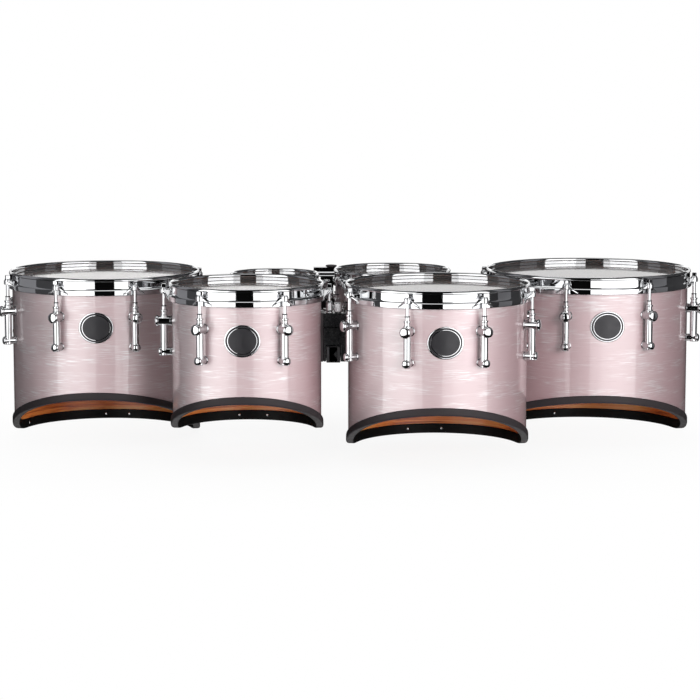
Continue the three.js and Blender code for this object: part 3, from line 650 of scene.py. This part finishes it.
for size, drum in drums.items():
    radius = drum["radius"]
    upper_post = 67.5
    post_gap = 52.5 if size in big_drums else 22
    lower_post = upper_post + post_gap
    foot = -(lower_post + 7)
    tube = [turned("tube", section, 32) for section in tube_parts]
    tube_section = (
        (4.6, -56.4),
        (5.7, -56.6),
        (6.25, -57.2),
        (6.35, -58.0),
        (6.35, foot + 1.2),
        (6.0, foot + 0.4),
        (5.2, foot),
        (4.2, foot + 0.1),
        (3.6, foot + 1.0),
    )
    tube.append(turned("tube", tube_section, 40))
    upper = (
        (7.4, radius - 1.0),
        (9.0, radius + 0.2),
        (9.0, radius + 1.8),
        (8.6, radius + 2.3),
        (7.7, radius + 2.5),
        (7.7, radius + 3.3),
        (8.0, radius + 3.6),
        (8.0, radius + 22.0),
        (7.6, radius + 22.4),
        (7.3, radius + 22.6),
        (7.3, radius + 23.4),
        (9.0, radius + 23.6),
        (9.5, radius + 24.3),
        (9.5, radius + 26.2),
        (9.2, radius + 27.3),
        (8.2, radius + 28.6),
        (6.2, radius + 29.4),
        (3.2, radius + 29.8),
        (0.8, radius + 29.9),
    )
    posts = [laid(turned("post", upper, 40), -upper_post)]
    lower = (
        (6.0, radius - 1.0),
        (7.2, radius + 0.2),
        (7.2, radius + 1.5),
        (6.8, radius + 2.0),
        (6.2, radius + 2.2),
        (6.2, radius + 2.9),
        (6.5, radius + 3.2),
        (6.5, radius + 18.2),
        (7.0, radius + 18.6),
        (7.3, radius + 19.4),
        (7.3, radius + 21.0),
        (6.9, radius + 22.3),
        (5.9, radius + 23.5),
        (4.1, radius + 24.3),
        (1.9, radius + 24.7),
        (0.5, radius + 24.8),
    )
    posts.append(laid(turned("post", lower, 36), -lower_post))
    for part in tube + posts:
        part.data.materials.append(chrome)
    bush_section = (
        (3.35, -42.3),
        (4.4, -42.3),
        (4.6, -41.9),
        (4.3, -41.0),
        (3.35, -41.0),
        (3.35, -42.3),
    )
    bush = turned("bush", bush_section, 28)
    bush.data.materials.append(nylon)
    for part in [*tube, bush]:
        part.location.y = -(radius + lug_axis) / 1000
    lug = joined("lug", [*tube, *posts, bush])
    eased(lug, 0)
    places = list(drum["lugs"])
    if size == 10:
        # This drum's third rod goes through the rack's front block.
        places.pop(2)
    ring = joined(f"lugs_{size}", [copied(lug, "lug", bearing) for bearing in places])
    bpy.data.objects.remove(lug)
    moved(ring, drum["place"])
    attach(ring, drum["body"])
    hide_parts(f"shell_{size}")


# Heads: polyester film drawn down over the bearing edge and glued into an aluminium flesh hoop.
# The rim presses the hoop down all round.
film, tree, shader = finish(
    "drum_film", Base_Color=(0.36, 0.345, 0.34, 1), Transmission_Weight=0.75, IOR=1.5
)
roughened(tree, shader, 1400, 0.03, 0.08, 0)
hoop_metal, tree, shader = finish("hoop_aluminium", Base_Color=(0.55, 0.55, 0.56, 1), Metallic=1.0)
roughened(tree, shader, 300, 0.28, 0.42, 0.01)

film_thickness = 1.0
for size, drum in drums.items():
    radius = drum["radius"]
    section = [
        (radius - 30, -head_depth),
        (radius - 6, -head_depth),
        (radius - 1.6, -11.15),
        (radius + 0.4, -11.9),
        (radius + 1.2, -13.2),
        (radius + 1.3, -15.0),
        (radius + 1.3, -21.3),
        (radius + 3.9, -21.3),
        (radius + hoop_overhang, -21.8),
        (radius + hoop_overhang, -27.0),
        (radius + 3.9, -27.5),
        (radius + 0.8, -27.5),
        (radius + 0.3, -27.0),
        (radius + 0.3, -13.6),
        (radius - 0.8, -12.2),
        (radius - 6, -head_depth - film_thickness),
        (radius - 30, -head_depth - film_thickness),
    ]
    head = turned(f"head_film_{size}", section, 128)
    head.data.materials.append(film)
    head.data.materials.append(hoop_metal)
    for face in head.data.polygons:
        across = math.hypot(face.center.x, face.center.y) * 1000
        in_hoop = across > radius + 1.5 or face.center.z * 1000 < -21.4
        face.material_index = 1 if in_hoop else 0
    eased(head, 0)
    moved(head, drum["place"])
    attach(head, drum["body"])
    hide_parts(f"head_{size}")


# Rims: rolled steel bands with a bead on top, a skirt over the flesh hoop, and a winged ear welded
# on for each tension rod, all in bright chrome.
def strip(name, upper, lower):
    # A row of faces between two lines of corners, each listed from left to right.
    bpy.ops.object.select_all(action="DESELECT")
    bpy.ops.mesh.primitive_grid_add(x_subdivisions=len(upper) - 1, y_subdivisions=1, size=2)
    piece = bpy.context.object
    piece.name = name
    columns = sorted({round(vertex.co.x, 6) for vertex in piece.data.vertices})
    for vertex in piece.data.vertices:
        corners = upper if vertex.co.y > 0 else lower
        corner = corners[columns.index(round(vertex.co.x, 6))]
        vertex.co = [value / 1000 for value in corner]
    return piece


def drawn_out(piece, step):
    # A flat piece is extruded by one step, which closes it to a body.
    bpy.ops.object.mode_set(mode="EDIT")
    bpy.ops.mesh.select_all(action="SELECT")
    shift = [value / 1000 for value in step]
    bpy.ops.mesh.extrude_region_move(TRANSFORM_OT_translate={"value": shift})
    bpy.ops.mesh.select_all(action="SELECT")
    bpy.ops.mesh.normals_make_consistent(inside=False)
    bpy.ops.object.mode_set(mode="OBJECT")


for size, drum in drums.items():
    radius = drum["radius"]
    section = [
        (radius + 0.6, -4.2),
        (radius + 0.6, -3.4),
        (radius + 0.9, -2.2),
        (radius + 1.4, -1.0),
        (radius + 2.0, -0.3),
        (radius + 2.9, 0),
        (radius + 3.5, -0.1),
        (radius + 4.1, -0.7),
        (radius + 4.9, -2.0),
        (radius + 5.4, -3.4),
        (radius + 5.5, -4.3),
        (radius + 5.2, -5.1),
        (radius + 4.7, -5.5),
        (radius + 4.4, -5.9),
        (radius + 4.4, -15.6),
        (radius + 4.5, -17.1),
        (radius + 4.85, -18.6),
        (radius + 5.4, -19.8),
        (radius + 6.1, -20.6),
        (radius + 6.7, -21.0),
        (radius + 6.9, -21.5),
        (radius + 6.9, -28.8),
        (radius + 6.6, -29.7),
        (radius + 6.0, -30),
        (radius + 5.2, -29.9),
        (radius + 4.8, -29.4),
        (radius + 4.75, -21.1),
        (radius + 1.6, -21.1),
        (radius + 1.6, -5.9),
        (radius + 1.3, -5.3),
        (radius + 0.8, -4.8),
    ]
    section.append(section[0])
    band = turned("band", section, 160)
    band.data.materials.append(chrome)
    eased(band, 0)

    # The ear: columns across its wing, each with its place, top, bottom and reach. The strip on
    # the band is drawn out to the front, and each column's end then goes to its reach.
    wing = (
        (-20, -26.0, -29.2, 7.6),
        (-17.5, -24.6, -28.4, 8.0),
        (-15, -23.0, -26.9, 8.6),
        (-12.5, -21.2, -25.0, 9.6),
        (-10, -19.0, -23.0, 11.2),
        (-8, -16.8, -21.3, 13.2),
        (-6.2, -14.6, -20.2, 15.8),
        (-4.6, -13.2, -19.8, 18.6),
        (-2.4, -13.0, -19.8, 19.8),
    )
    wing = [*wing, *((-x, top, low, reach) for x, top, low, reach in reversed(wing))]
    root = radius + 3.4
    pull = 50
    ear = strip(
        "ear",
        [(x, -math.sqrt(root**2 - x * x), top) for x, top, low, reach in wing],
        [(x, -math.sqrt(root**2 - x * x), low) for x, top, low, reach in wing],
    )
    drawn_out(ear, (0, -pull, 0))
    for vertex in ear.data.vertices:
        x = vertex.co.x * 1000
        back = -math.sqrt(root**2 - x * x)
        if vertex.co.y * 1000 < back - pull / 2:
            nearest = min(wing, key=lambda column: abs(column[0] - x))
            vertex.co.y = -math.sqrt((radius + nearest[3]) ** 2 - x * x) / 1000
    ear.data.materials.append(chrome)
    eased(ear, 1.7, 4, 40)
    boss_section = (
        (5.4, -12.6),
        (6.1, -13.0),
        (6.4, -13.8),
        (6.4, -19.2),
        (6.0, -20.0),
        (4.6, -20.3),
        (3.5, -20.3),
        (3.5, -12.6),
        (5.4, -12.6),
    )
    boss = turned("boss", boss_section, 32)
    boss.data.materials.append(chrome)
    boss.location.y = -(radius + lug_axis) / 1000
    eased(boss, 0)
    ears = []
    for bearing in drum["lugs"]:
        ears += [copied(ear, "ear", bearing), copied(boss, "boss", bearing)]
        turn = math.radians(bearing)
        reach = (radius + lug_axis) / 1000
        ears[-1].location = (math.sin(turn) * reach, -math.cos(turn) * reach, 0)
    bpy.data.objects.remove(ear)
    bpy.data.objects.remove(boss)
    rim = joined(f"rim_band_{size}", [band, *ears])
    moved(rim, drum["place"])
    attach(rim, f"rim_{size}")
    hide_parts(f"rim_{size}")


# Tension rods: chromed steel screws with square heads, a flange and a loose washer on the ear.
# The first rod of each drum turns by itself, and the others lift with their rim.
rod_section = ((2.4, -85), (3.0, -84.4), (3.0, -12.0), (2.9, -9.0))
washer_section = (
    (3.1, -13.0),
    (5.4, -13.0),
    (5.7, -12.7),
    (5.7, -12.1),
    (5.3, -11.8),
    (3.1, -11.8),
    (3.1, -13.0),
)
flange_section = ((2.9, -11.8), (4.8, -11.8), (5.1, -11.4), (5.0, -10.6), (4.3, -9.9), (2.9, -9.6))
head_section = ((4.0, -10.3), (4.9, -9.8), (4.95, -4.7), (4.3, -3.7), (3.0, -3.5))
for size, drum in drums.items():
    radius = drum["radius"]
    shaft = turned("shaft", rod_section, 24)
    washer = turned("washer", washer_section, 32)
    flange = turned("flange", flange_section, 32)
    square = turned("square", head_section, 4)
    square.rotation_euler = (0, 0, math.radians(45))
    eased(square, 0.35, 2, 25)
    for part in (shaft, washer, flange):
        eased(part, 0)
    parts = [shaft, washer, flange, square]
    for part in parts:
        part.data.materials.append(chrome)
    rod = joined("rod", parts)
    moved(rod, (0, -(radius + lug_axis) / 1000, 0))
    first = moved(copied(rod, f"rod_first_{size}"), drum["place"], drum["lugs"][0])
    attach(first, f"tuning_rod_{size}")
    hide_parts(f"tuning_rod_{size}")
    others = joined(f"rods_{size}", [copied(rod, "rod", bearing) for bearing in drum["lugs"][1:]])
    bpy.data.objects.remove(rod)
    moved(others, drum["place"])
    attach(others, f"rim_{size}")
    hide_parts(f"rim_{size}")


# Edge guards: black rubber channel pressed over the cut lower edge of each big shell, and held by
# small domed screws through its leg inside the shell. That inner leg is painted darker than the
# outer one, as painted shade for the shadow that falls inside the drum.
rubber, tree, shader = finish(
    "moulded_rubber", Base_Color=(0.034, 0.029, 0.031, 1), Specular_IOR_Level=0.12
)
roughened(tree, shader, 500, 0.36, 0.52, 0.03)
# Painted shade: the same rubber made darker, for the inner leg that lies in the shell's shadow.
shaded_rubber, tree, shader = finish(
    "rubber_painted_shade", Base_Color=(0.005, 0.005, 0.005, 1), Specular_IOR_Level=0.1
)
roughened(tree, shader, 500, 0.4, 0.55, 0.03)
screw_bearings = {
    10: (165, 189, 345, 9),
    12: (175, 199, 355, 19),
    13: (170, 186, 250, 350),
    14: (195, 220, 15, 40),
}
for size, drum in big_drums.items():
    radius = drum["radius"]
    inside = radius - wall
    sole = -drum["rear"]
    section = [
        (radius + 0.1, sole + 13.5),
        (radius + 1.6, sole + 13.5),
        (radius + 2.7, sole + 13.1),
        (radius + 3.4, sole + 12.3),
        (radius + 3.7, sole + 10.8),
        (radius + 3.8, sole + 3.4),
        (radius + 3.3, sole + 1.4),
        (radius + 2.1, sole + 0.3),
        (radius + 0.6, sole),
        (inside - 0.6, sole),
        (inside - 1.8, sole + 0.4),
        (inside - 2.5, sole + 1.4),
        (inside - 2.5, sole + 16.3),
        (inside - 1.9, sole + 17.0),
        (inside - 0.1, sole + 17.0),
        (inside - 0.1, sole + 3.2),
        (radius + 0.1, sole + 3.2),
        (radius + 0.1, sole + 13.5),
    ]
    guard = turned(f"edge_guard_{size}", section, 160)
    guard.data.materials.append(rubber)
    guard.data.materials.append(shaded_rubber)
    # The inner leg's faces take the darker rubber, which is painted shade.
    for face in guard.data.polygons:
        across = math.hypot(face.center.x, face.center.y) * 1000
        face.material_index = 1 if across < inside - 1.5 else 0
    scooped(guard, drum, 0)
    eased(guard, 0)
    moved(guard, drum["place"])
    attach(guard, "rack")
    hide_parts(f"guard_{size}")

    dome = ((2.3, 0), (2.3, 0.3), (2.0, 0.8), (1.3, 1.25), (0.4, 1.4))
    screw = turned("screw", dome, 14)
    screw.data.materials.append(chrome)
    eased(screw, 0)
    screws = []
    for bearing in screw_bearings[size]:
        one = copied(screw, "screw")
        turn = math.radians(bearing)
        x, y = math.sin(turn), -math.cos(turn)
        reach = (inside - 2.4) / 1000
        one.location = (x * reach, y * reach, (sole + 9.0) / 1000 + edge_rise(drum, y))
        one.rotation_euler = (math.radians(-90), 0, turn)
        screws.append(one)
    bpy.data.objects.remove(screw)
    screws = joined(f"guard_screws_{size}", screws)
    moved(screws, drum["place"])
    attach(screws, "rack")


# Badges: plain oval plates, dark with a bright raised border and a bright line inside it, curved
# to the shells that they are stuck on.
plate, tree, shader = finish("badge_plate", Base_Color=(0.022, 0.021, 0.024, 1), Metallic=0.3)
roughened(tree, shader, 700, 0.3, 0.45, 0.01)
half_width = 30
height_share = 0.9
badge_middle = -86  # below the rim's top edge
for size, drum in big_drums.items():
    radius = drum["radius"]
    oval = (
        (1.0, 0.0),
        (1.0, 1.7),
        (0.985, 2.1),
        (0.955, 2.2),
        (0.93, 2.1),
        (0.915, 1.5),
        (0.83, 1.45),
        (0.82, 1.75),
        (0.80, 1.8),
        (0.785, 1.75),
        (0.775, 1.45),
        (0.4, 1.5),
        (0.02, 1.55),
    )
    badge = turned("badge", [(half_width * share, lift) for share, lift in oval], 72)
    badge.data.materials.append(plate)
    badge.data.materials.append(chrome)
    for face in badge.data.polygons:
        across = math.hypot(face.center.x, face.center.y) * 1000
        face.material_index = 1 if across > 27.5 or 23.4 < across < 24.8 else 0
    eased(badge, 0)
    for vertex in badge.data.vertices:
        x, y, z = vertex.co * 1000
        turn = x / radius
        reach = (radius + 0.3 + z) / 1000
        height = (badge_middle + y * height_share) / 1000
        vertex.co = (math.sin(turn) * reach, -math.cos(turn) * reach, height)
    badge.name = f"badge_plate_{size}"
    moved(badge, drum["place"], (drum["lugs"][0] + drum["lugs"][1]) / 2)
    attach(badge, "rack")
    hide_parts(f"badge_{size}")


# Rack: powder coated aluminium tubes and milled blocks, bolted together. Their shapes are the CAD
# solids' with the edges eased.
powder, tree, shader = finish(
    "powder_coat", Base_Color=(0.005, 0.005, 0.006, 1), Specular_IOR_Level=0.5
)
roughened(tree, shader, 1200, 0.2, 0.3, 0.015)


def eased_node(node, width, body, coat):
    piece = bpy.data.objects.new(f"{node}_body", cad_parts[node].data.copy())
    scene.collection.objects.link(piece)
    only(piece)
    piece.data.materials.clear()
    piece.data.materials.append(coat)
    bpy.ops.object.mode_set(mode="EDIT")
    bpy.ops.mesh.select_all(action="SELECT")
    bpy.ops.mesh.remove_doubles(threshold=weld)
    bpy.ops.mesh.dissolve_limited(angle_limit=math.radians(1))
    bpy.ops.mesh.normals_make_consistent(inside=False)
    bpy.ops.object.mode_set(mode="OBJECT")
    eased(piece, width, 3)
    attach(piece, body)
    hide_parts(node)


for node, width in (
    ("front_block_upper", 2.5),
    ("front_block_lower", 2.5),
    ("spine_tube", 2.5),
    ("crossbar", 2.5),
    ("rear_arm", 2.5),
    ("rear_bar", 2.5),
    ("end_bracket_13", 1.6),
    ("end_bracket_14", 1.6),
    ("socket_left", 1.6),
    ("socket_right", 1.6),
    ("carrier_upright", 1.6),
):
    eased_node(node, width, "rack", powder)
eased_node("small_clamp", 1.8, "small_drums", powder)


# Saddle pads: moulded rubber between the blocks and the shells, glued into the blocks.
for node, body in (
    ("front_pad_10", "rack"),
    ("front_pad_12", "rack"),
    ("end_pad_13", "rack"),
    ("end_pad_14", "rack"),
    ("small_pad_6", "small_drums"),
    ("small_pad_8", "small_drums"),
):
    eased_node(node, 0.8, body, rubber)


# Bolts: chromed socket head screws that hold the rack's parts together, one set on each body.
def hexed(piece, reach, flat):
    # Points of a turned piece nearer its axis than `reach` go to a hexagon's flats.
    for vertex in piece.data.vertices:
        x, y, z = vertex.co
        across = math.hypot(x, y)
        if 0.0002 < across < reach / 1000:
            turn = math.atan2(y, x) % math.radians(60) - math.radians(30)
            wanted = flat / 1000 / math.cos(turn)
            vertex.co = (x / across * wanted, y / across * wanted, z)
    return piece


bolt_section = (
    (4.2, 0),
    (4.5, 0.2),
    (4.5, 3.5),
    (4.2, 3.9),
    (3.5, 4.0),
    (2.6, 4.0),
    (2.5, 1.2),
    (2.4, 1.1),
)
bolt = hexed(turned("bolt", bolt_section, 36), 2.7, 2.2)
bolt.data.materials.append(chrome)
eased(bolt, 0)
rack_places = (
    # Where the bolt's head sits, and how far it leans to the right.
    (-44, -112, 247, 0),
    (-15, -112, 247, 0),
    (-31.1, 92, 190.7, 0),
    (-31.1, 113, 190.7, 0),
    (-75, 285.8, 162.4, 0),
    (-17, 285.8, 162.4, 0),
    (-45.9, 140, 162.4, 0),
    (-259.3, 83, 134.5, 90),
    (-259.3, 123.5, 134.5, 90),
    (-259.3, 83, 170.5, 90),
    (-259.3, 123.5, 170.5, 90),
    (228.6, 83, 134.5, -90),
    (228.6, 123.5, 134.5, -90),
    (228.6, 83, 170.5, -90),
    (228.6, 123.5, 170.5, -90),
)
clamp_places = [(x, y, 238, 0) for y in (165, 197) for x in (-57, -35)]
for name, places, body in (
    ("rack_bolts", rack_places, "rack"),
    ("small_clamp_bolts", clamp_places, "small_drums"),
):
    bolts = []
    for x, y, z, lean in places:
        one = copied(bolt, "bolt")
        one.location = (x / 1000, y / 1000, z / 1000)
        one.rotation_euler = (0, math.radians(lean), 0)
        bolts.append(one)
    bolts = joined(name, bolts)
    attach(bolts, body)
bpy.data.objects.remove(bolt)


# Spine end cap: a moulded plug in the front end of the spine tube, with an upright rib on each
# side of a sunk middle.
plug, tree, shader = finish(
    "grey_plug", Base_Color=(0.035, 0.035, 0.037, 1), Specular_IOR_Level=0.3
)
roughened(tree, shader, 800, 0.4, 0.55, 0.02)
low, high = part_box("spine_tube")
centre = (low.x + high.x) * 500
front = low.y * 1000
margin = 1.2
ribs = (
    # Place from the middle, and how far the plug stands out of the tube.
    (-11.6, 1.0),
    (-11.0, 1.8),
    (-7.0, 1.8),
    (-6.2, -3.0),
    (6.2, -3.0),
    (7.0, 1.8),
    (11.0, 1.8),
    (11.6, 1.0),
)
cap = strip(
    "spine_end_cap",
    [(centre + x, front - out, high.z * 1000 - margin) for x, out in ribs],
    [(centre + x, front - out, low.z * 1000 + margin) for x, out in ribs],
)
drawn_out(cap, (0, 2.5, 0))
cap.data.materials.append(plug)
eased(cap, 0.4, 3, 25)
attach(cap, "rack")


# Clamp nut and knob: a chromed round nut and a knurled thumb knob on the front block's two studs.
def placed(name, parts, place, body, node, coat=chrome):
    # Parts made round the origin become one piece that stands where its CAD node does.
    for part in parts:
        part.data.materials.append(coat)
        if not part.data.polygons[0].use_smooth:
            eased(part, 0)
    piece = joined(name, parts)
    moved(piece, place)
    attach(piece, body)
    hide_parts(node)


def middle(node):
    # The middle of the node's foot.
    low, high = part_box(node)
    return ((low.x + high.x) / 2, (low.y + high.y) / 2, low.z)


def knurled(piece, sides, depth, low, high):
    # Every other column of points between the two heights is pressed in.
    for vertex in piece.data.vertices:
        x, y, z = vertex.co
        across = math.hypot(x, y)
        column = round(math.atan2(y, x) / (2 * math.pi / sides))
        if low / 1000 < z < high / 1000 and column % 2:
            share = 1 - depth / 1000 / across
            vertex.co = (x * share, y * share, z)
    return piece


washer_section = ((3.2, 0), (6.4, 0), (6.6, 0.3), (6.5, 1.3), (6.2, 1.5), (3.2, 1.5))
washer = turned("washer", washer_section, 32)
barrel_section = (
    (4.6, 1.4),
    (5.2, 1.6),
    (5.8, 3.0),
    (5.9, 4.6),
    (5.9, 15.2),
    (5.5, 15.7),
    (5.5, 16.4),
    (5.9, 16.9),
)
barrel = turned("barrel", barrel_section, 32)
dome_section = (
    (5.4, 16.6),
    (5.9, 17.0),
    (5.7, 18.2),
    (4.9, 19.1),
    (3.2, 19.7),
    (1.2, 19.95),
    (0.2, 20.0),
)
dome = turned("dome", dome_section, 32)
placed("rack_nut_body", [washer, barrel, dome], middle("rack_nut"), "rack", "rack_nut")

knob_section = (
    (3.6, 22.3),
    (5.6, 22.4),
    (6.0, 23.0),
    (6.5, 23.6),
    (6.5, 37.4),
    (6.1, 38.1),
    (5.2, 38.5),
    (4.6, 38.3),
    (4.2, 38.8),
    (2.6, 39.2),
    (0.3, 39.3),
)
knob = knurled(turned("knob", knob_section, 56), 56, 0.5, 23.1, 37.9)
stud = turned("stud", ((2.6, 0), (3.0, 0.4), (3.0, 22.6)), 24)
placed("block_knob_body", [knob, stud], middle("block_knob"), "block_knob", "block_knob")


# Small drums' post: a chromed tube with five grooves as height marks and a domed end plug, and a
# split collar with its clamp screw that stops the clamp at its height.
post_section = [(4.0, 0), (6.6, 0), (7.0, 0.5)]
for mark in range(5):
    height = 60 + 9 * mark
    post_section += [
        (7.0, height),
        (6.75, height + 0.35),
        (6.75, height + 0.85),
        (7.0, height + 1.2),
    ]
post_section += [
    (7.0, 104.6),
    (6.7, 105.2),
    (6.0, 105.4),
    (5.8, 105.9),
    (4.8, 106.8),
    (2.6, 107.2),
    (0.3, 107.3),
]
post = turned("post", post_section, 40)
placed("small_post_body", [post], middle("small_post"), "rack", "small_post")

collar_section = (
    (7.1, 0),
    (12.2, 0),
    (13.0, 0.8),
    (13.0, 4.6),
    (12.6, 5.0),
    (12.6, 7.0),
    (13.0, 7.4),
    (13.0, 11.2),
    (12.2, 12.0),
    (7.1, 12.0),
    (7.1, 0),
)
collar = turned("collar", collar_section, 64)
screw = turned("screw", ((2.5, 11.0), (2.7, 13.6), (2.5, 14.0), (1.5, 14.1), (1.4, 13.0)), 24)
laid(screw, 6)
moved(screw, (0, 0, 0), 180)
placed("stop_collar_body", [collar, screw], middle("stop_collar"), "rack", "stop_collar")


# Wing screws: chromed, with a waisted wing brazed on the shaft. One sets the small drums' height
# and one closes each of the two sockets.
for node in ("height_screw", "socket_screw_left", "socket_screw_right"):
    low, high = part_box(node)
    length = (high.y - low.y) * 1000
    shaft_section = (
        (2.2, 0),
        (3.0, 0.8),
        (3.0, length - 12.5),
        (4.2, length - 12),
        (4.4, length - 11),
        (3.9, length - 9),
    )
    shaft = turned("shaft", shaft_section, 28)
    laid(shaft, 0)
    moved(shaft, (0, 0, 0), 180)
    outline = (
        # Place across the wing, and its near and far edge from the screw's outer end.
        (-13, -4.6, -2.2),
        (-12.2, -6.2, -1.0),
        (-10.4, -7.4, -0.2),
        (-8, -8.2, 0),
        (-5, -9.6, -0.8),
        (-2.4, -11.2, -2.4),
        (0, -11.8, -3.2),
    )
    outline = [*outline, *((-x, near, far) for x, near, far in reversed(outline[:-1]))]
    wing = strip(
        "wing",
        [(x, length + far, -2.5) for x, near, far in outline],
        [(x, length + near, -2.5) for x, near, far in outline],
    )
    drawn_out(wing, (0, 0, 5))
    eased(wing, 1.3, 3, 40)
    place = ((low.x + high.x) / 2, low.y, (low.z + high.z) / 2)
    placed(f"{node}_body", [shaft, wing], place, node, node)


# Hook bar: a bright bar with two sloping steps along its front, clamped on the upright by a flat
# black knob.
low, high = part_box("hook_bar")
profile = (
    (1.2, 0.3),
    (0.4, 1.2),
    (0.4, 2.2),
    (3.4, 5.4),
    (3.4, 5.9),
    (0.6, 6.9),
    (0.6, 7.8),
    (3.8, 11.0),
    (4.2, 16.6),
    (5.4, 17.9),
    (19.6, 18.0),
    (21.2, 17.3),
    (22.0, 15.6),
    (22.0, 2.2),
    (21.2, 0.6),
    (19.6, 0.0),
    (2.0, 0.0),
)
bpy.ops.object.select_all(action="DESELECT")
bpy.ops.mesh.primitive_circle_add(vertices=len(profile), radius=1, fill_type="NGON")
bar = bpy.context.object
for vertex, (y, z) in zip(bar.data.vertices, profile):
    vertex.co = (low.x, low.y + y / 1000, low.z + z / 1000)
drawn_out(bar, ((high.x - low.x) * 1000, 0, 0))
eased(bar, 0.6, 2, 60)
placed("hook_bar_body", [bar], (0, 0, 0), "rack", "hook_bar")

grip_section = (
    (4.0, 0),
    (9.0, 0),
    (10.1, 0.5),
    (10.6, 1.2),
    (10.6, 2.1),
    (10.1, 2.8),
    (9.0, 3.3),
    (6.0, 3.7),
    (5.6, 3.5),
    (3.2, 3.7),
    (0.3, 3.8),
)
grip = turned("grip", grip_section, 60)
scallops = 10
scallop_depth = 0.06
for vertex in grip.data.vertices:
    x, y, z = vertex.co
    if math.hypot(x, y) > 0.008:
        share = 1 - scallop_depth * max(0, math.cos(scallops * math.atan2(y, x)))
        vertex.co = (x * share, y * share, z)
placed(
    "hook_knob_body",
    [grip],
    middle("hook_knob"),
    "hook_knob",
    "hook_knob",
    rubber,
)
